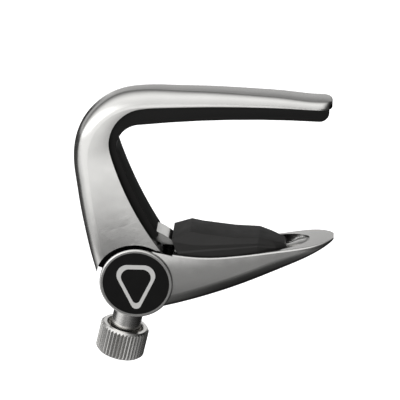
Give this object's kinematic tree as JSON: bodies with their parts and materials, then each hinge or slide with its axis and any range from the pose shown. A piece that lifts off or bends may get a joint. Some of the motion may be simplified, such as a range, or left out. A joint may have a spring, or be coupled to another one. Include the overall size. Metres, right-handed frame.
{
  "type": "guitar capo",
  "caption": "Screw-tightened guitar capo: a curved upper arm with a rubber string pad hinges on a trough-shaped lower arm with a neck pad, closed by a knurled knob.",
  "frame": {"origin": "middle of the gap that takes the guitar's neck, on the capo's middle plane", "axes": "+X runs along both arms from the hinge to their tips, +Z from the lower arm to the string pad, Y across the capo"},
  "size_m": [0.0733, 0.017, 0.0826],
  "materials": {
    "arm_metal": "satin",
    "screw_metal": "satin",
    "inner_steel": "satin",
    "pad_rubber": "matte",
    "seal_rubber": "matte",
    "badge_black": "satin",
    "bush_bronze": "satin",
    "washer_nylon": "matte"
  },
  "bodies": {
    "lower_arm": {"lower_arm": "arm_metal", "neck_pad": "pad_rubber", "pivot_pin": "inner_steel", "near_washer": "washer_nylon", "far_washer": "washer_nylon", "near_badge": "badge_black", "far_badge": "badge_black", "screw_collar": "screw_metal", "drag_ring": "seal_rubber"},
    "upper_arm": {"upper_arm": "arm_metal", "string_pad": "pad_rubber", "near_bush": "bush_bronze", "far_bush": "bush_bronze", "heel_pin": "inner_steel", "return_spring": "inner_steel"},
    "thrust": {"thrust_cone": "inner_steel"},
    "knob": {"tension_knob": "screw_metal", "tension_screw": "inner_steel", "knob_cap": "screw_metal"}
  },
  "joints": [
    {"name": "arm_pivot", "type": "hinge", "parent": "lower_arm", "child": "upper_arm", "pos_m": [-0.027, 0, -0.032], "axis": [0, 1, 0], "range_deg": [-4, 18], "deforming": ["return_spring"]},
    {"name": "screw_advance", "type": "slide", "parent": "lower_arm", "child": "thrust", "axis": [0.2233, 0, 0.9748], "range_m": [-0.00056, 0.00254]},
    {"name": "knob_turn", "type": "hinge", "parent": "thrust", "child": "knob", "pos_m": [-0.027, 0, -0.032], "axis": [0.2233, 0, 0.9748], "range_deg": [-254, 1143]}
  ],
  "couplings": [
    {"joint": "screw_advance", "follows": "knob_turn", "m_per_rad": 0.00012732},
    {"joint": "arm_pivot", "follows": "knob_turn", "ratio": 0.015739}
  ]
}
